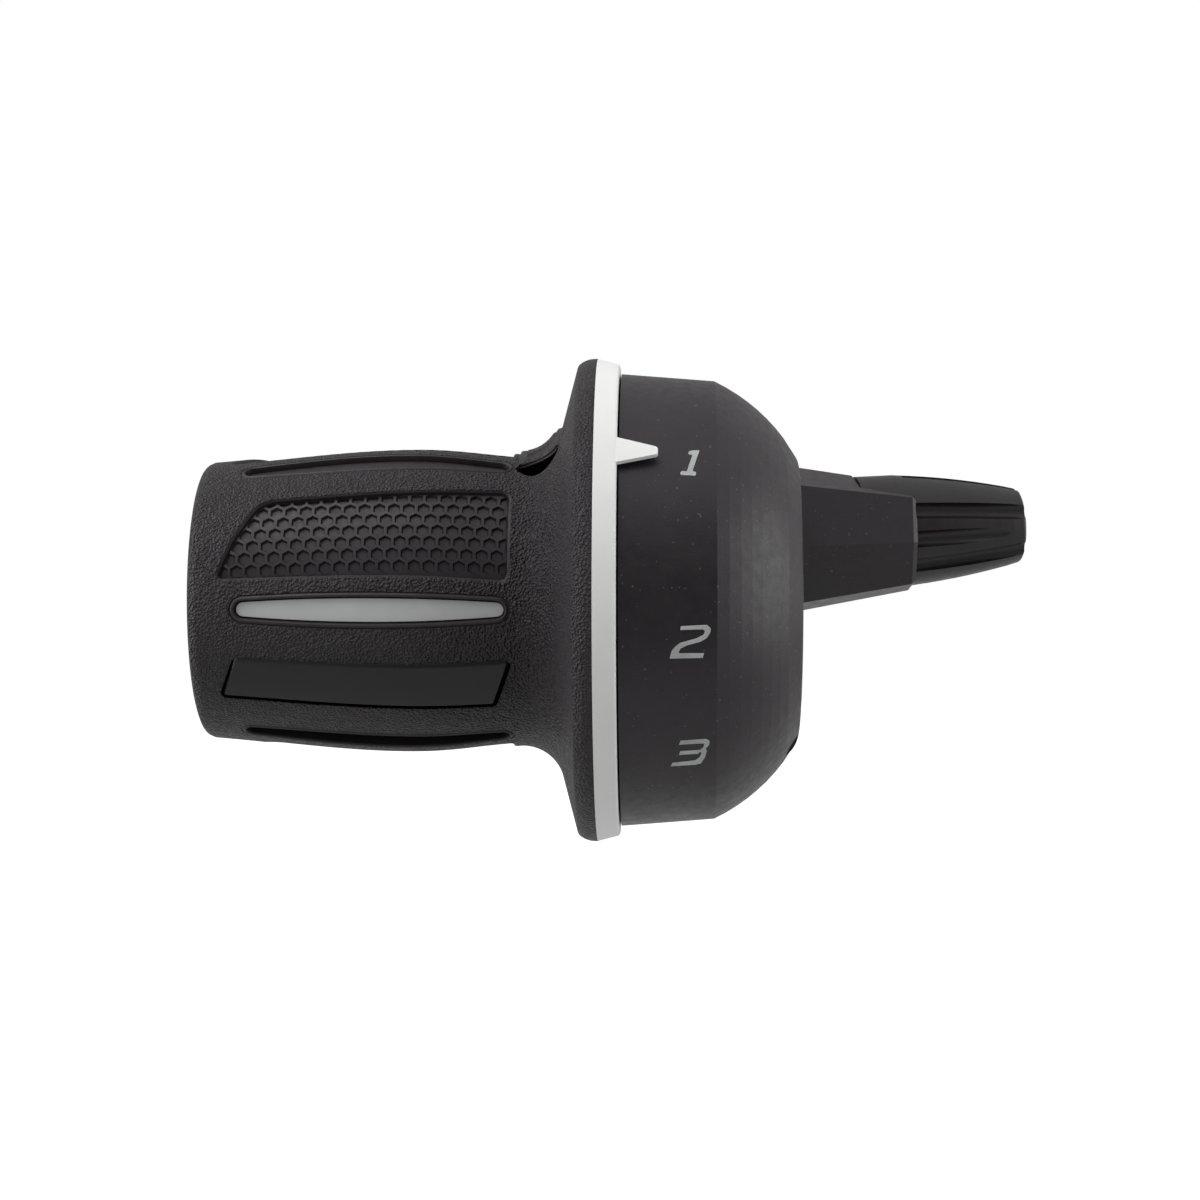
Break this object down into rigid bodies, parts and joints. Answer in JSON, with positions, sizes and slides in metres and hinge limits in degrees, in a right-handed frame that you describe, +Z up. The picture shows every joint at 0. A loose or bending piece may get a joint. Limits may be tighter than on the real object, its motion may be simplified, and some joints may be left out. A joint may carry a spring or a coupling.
{
  "type": "twist grip shifter",
  "caption": "Handlebar twist grip gear shifter: rubber grip with windows and pads, white pointer ring, numbered domed housing with split clamp, cable outlet and barrel adjuster.",
  "frame": {"origin": "centre of the clamp bore at the inboard end face, on the axis of the handlebar", "axes": "+X along the handlebar axis, from the grip towards the cable outlet; +Z up, +Y away from the rider"},
  "size_m": [0.0939, 0.0545, 0.0538],
  "materials": {
    "shell": "fine moulded grain, satin",
    "knob": "satin",
    "spool": "satin",
    "ring": "smooth white satin",
    "barrel": "light grey satin",
    "rubber": "fine pebbled grain",
    "liner": "slippery natural acetal",
    "steel": "zinc plated",
    "spring_steel": "bright",
    "brass": "turned"
  },
  "bodies": {
    "housing": {"housing": "shell", "clamp_bolt": "steel", "clamp_washer": "steel", "clamp_sleeve": "brass", "detent_spring": "spring_steel", "retaining_clip": "spring_steel", "thrust_washer": "liner", "cable_guide": "liner", "threaded_insert": "brass", "click_spring": "spring_steel"},
    "grip": {"grip_cover": "rubber", "grip_barrel": "barrel", "indicator_ring": "ring", "cable_spool": "spool"},
    "collar": {"click_collar": "liner"},
    "adjuster": {"adjuster_knob": "knob", "adjuster_stem": "brass"}
  },
  "joints": [
    {"name": "grip_twist", "type": "hinge", "parent": "housing", "child": "grip", "pos_m": [0, 0, 0], "axis": [1, 0, 0], "range_deg": [0, 76.8], "deforming": ["detent_spring"]},
    {"name": "adjuster_travel", "type": "slide", "parent": "housing", "child": "collar", "axis": [0.9903, 0.1295, 0.051], "range_m": [0, 0.0024], "deforming": ["click_spring"]},
    {"name": "adjuster_turn", "type": "hinge", "parent": "collar", "child": "adjuster", "pos_m": [0, 0.01915, 0.00754], "axis": [0.9903, 0.1295, 0.051], "range_deg": [0, 1080]}
  ],
  "couplings": [
    {"joint": "adjuster_turn", "follows": "adjuster_travel", "rad_per_m": 7854}
  ]
}
